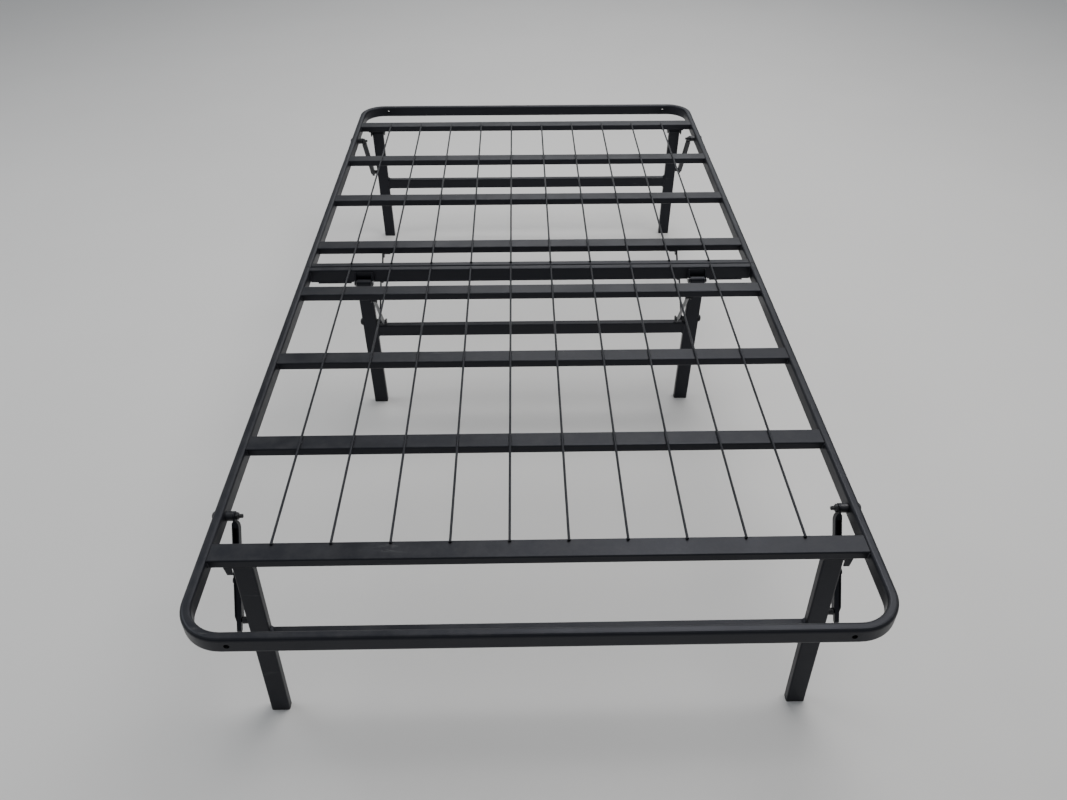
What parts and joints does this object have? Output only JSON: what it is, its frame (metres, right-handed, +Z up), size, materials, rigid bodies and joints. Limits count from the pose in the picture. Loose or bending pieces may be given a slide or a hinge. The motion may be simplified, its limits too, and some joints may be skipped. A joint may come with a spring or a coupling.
{
  "type": "folding bed frame",
  "caption": "Folding metal platform bed frame with hinged slatted halves, a wire deck and folding leg frames with knee braces.",
  "frame": {"origin": "on the floor, under the middle of the whole frame's box", "axes": "+X across the bed, +Y along the bed towards the head end, +Z up; the foot end faces -Y"},
  "size_m": [0.977, 1.905, 0.36],
  "materials": {
    "frame_paint": "satin near-black powder coat with a faint grain",
    "wire_paint": "satin near-black powder coat over wire",
    "bracket_paint": "satin near-black powder coat over folded sheet",
    "fastener_steel": "black oxide steel with worn edges",
    "pin_steel": "dull zinc-plated steel",
    "spring_steel": "dull zinc-plated spring wire",
    "foot_plastic": "matte black polyethylene"
  },
  "bodies": {
    "foot_half": {"foot_rail": "frame_paint", "foot_fold_bar": "frame_paint", "foot_slat_1": "frame_paint", "foot_slat_2": "frame_paint", "foot_slat_3": "frame_paint", "foot_slat_4": "frame_paint", "foot_wires": "wire_paint", "foot_leg_bracket_left": "bracket_paint", "foot_leg_bracket_right": "bracket_paint", "mid_leg_bracket_left": "bracket_paint", "mid_leg_bracket_right": "bracket_paint", "foot_hinge_leaf_left": "bracket_paint", "foot_hinge_leaf_right": "bracket_paint", "hinge_pin_left": "pin_steel", "hinge_pin_right": "pin_steel", "foot_brace_bolts": "fastener_steel", "foot_brace_nuts": "fastener_steel", "foot_brace_spacers": "fastener_steel", "foot_leg_pins": "pin_steel", "mid_leg_pins": "pin_steel", "spring_anchors": "fastener_steel", "centre_spring_left": "spring_steel", "centre_spring_right": "spring_steel"},
    "head_half": {"head_rail": "frame_paint", "head_fold_bar": "frame_paint", "head_slat_1": "frame_paint", "head_slat_2": "frame_paint", "head_slat_3": "frame_paint", "head_slat_4": "frame_paint", "head_wires": "wire_paint", "head_leg_bracket_left": "bracket_paint", "head_leg_bracket_right": "bracket_paint", "head_hinge_leaf_left": "bracket_paint", "head_hinge_leaf_right": "bracket_paint", "head_brace_bolts": "fastener_steel", "head_brace_nuts": "fastener_steel", "head_brace_spacers": "fastener_steel", "head_leg_pins": "pin_steel", "centre_link_brackets": "bracket_paint"},
    "foot_legs": {"foot_leg_left": "frame_paint", "foot_leg_right": "frame_paint", "foot_crossbar": "frame_paint", "foot_leg_caps": "foot_plastic", "foot_leg_bolts": "fastener_steel"},
    "mid_legs": {"mid_leg_left": "frame_paint", "mid_leg_right": "frame_paint", "mid_crossbar": "frame_paint", "mid_leg_caps": "foot_plastic", "mid_leg_bolts": "fastener_steel"},
    "head_legs": {"head_leg_left": "frame_paint", "head_leg_right": "frame_paint", "head_crossbar": "frame_paint", "head_leg_caps": "foot_plastic", "head_leg_bolts": "fastener_steel"},
    "foot_arms": {"foot_brace_arms": "bracket_paint"},
    "foot_links": {"foot_brace_links": "bracket_paint"},
    "head_arms": {"head_brace_arms": "bracket_paint"},
    "head_links": {"head_brace_links": "bracket_paint"},
    "far_links": {"centre_far_links": "bracket_paint"},
    "leg_links": {"centre_leg_links": "bracket_paint"}
  },
  "joints": [
    {"name": "deck_fold", "type": "hinge", "parent": "foot_half", "child": "head_half", "pos_m": [0, 0, 0.321], "axis": [-1, 0, 0], "range_deg": [0, 180]},
    {"name": "foot_legs_fold", "type": "hinge", "parent": "foot_half", "child": "foot_legs", "pos_m": [0, -0.8025, 0.331], "axis": [1, 0, 0], "range_deg": [0, 93.01]},
    {"name": "mid_legs_fold", "type": "hinge", "parent": "foot_half", "child": "mid_legs", "pos_m": [0, -0.027, 0.331], "axis": [-1, 0, 0], "range_deg": [0, 93.51], "deforming": ["centre_spring_left", "centre_spring_right"]},
    {"name": "head_legs_fold", "type": "hinge", "parent": "head_half", "child": "head_legs", "pos_m": [0, 0.8025, 0.331], "axis": [-1, 0, 0], "range_deg": [0, 93.01]},
    {"name": "foot_arm_swing", "type": "hinge", "parent": "foot_half", "child": "foot_arms", "pos_m": [0, -0.7185, 0.342], "axis": [1, 0, 0], "range_deg": [0, 119.33]},
    {"name": "foot_knee_bend", "type": "hinge", "parent": "foot_arms", "child": "foot_links", "pos_m": [0, -0.77397, 0.26161], "axis": [-1, 0, 0], "range_deg": [0, 172.86]},
    {"name": "head_arm_swing", "type": "hinge", "parent": "head_half", "child": "head_arms", "pos_m": [0, 0.7185, 0.342], "axis": [-1, 0, 0], "range_deg": [0, 119.33]},
    {"name": "head_knee_bend", "type": "hinge", "parent": "head_arms", "child": "head_links", "pos_m": [0, 0.77397, 0.26161], "axis": [1, 0, 0], "range_deg": [0, 172.86]},
    {"name": "far_link_swing", "type": "hinge", "parent": "head_half", "child": "far_links", "pos_m": [0, 0.097, 0.329], "axis": [-1, 0, 0], "range_deg": [0, 36.23]},
    {"name": "leg_link_swing", "type": "hinge", "parent": "mid_legs", "child": "leg_links", "pos_m": [0, -0.02083, 0.23019], "axis": [1, 0, 0], "range_deg": [0, 44.86]}
  ],
  "couplings": [
    {"joint": "foot_legs_fold", "follows": "deck_fold", "ratio": 0.51667},
    {"joint": "mid_legs_fold", "follows": "deck_fold", "ratio": 0.51944},
    {"joint": "head_legs_fold", "follows": "deck_fold", "ratio": 0.51667},
    {"joint": "foot_arm_swing", "follows": "deck_fold", "ratio": 0.66289},
    {"joint": "foot_knee_bend", "follows": "deck_fold", "ratio": 0.96024},
    {"joint": "head_arm_swing", "follows": "deck_fold", "ratio": 0.66289},
    {"joint": "head_knee_bend", "follows": "deck_fold", "ratio": 0.96024},
    {"joint": "far_link_swing", "follows": "deck_fold", "ratio": 0.20121},
    {"joint": "leg_link_swing", "follows": "deck_fold", "ratio": 0.24915}
  ]
}
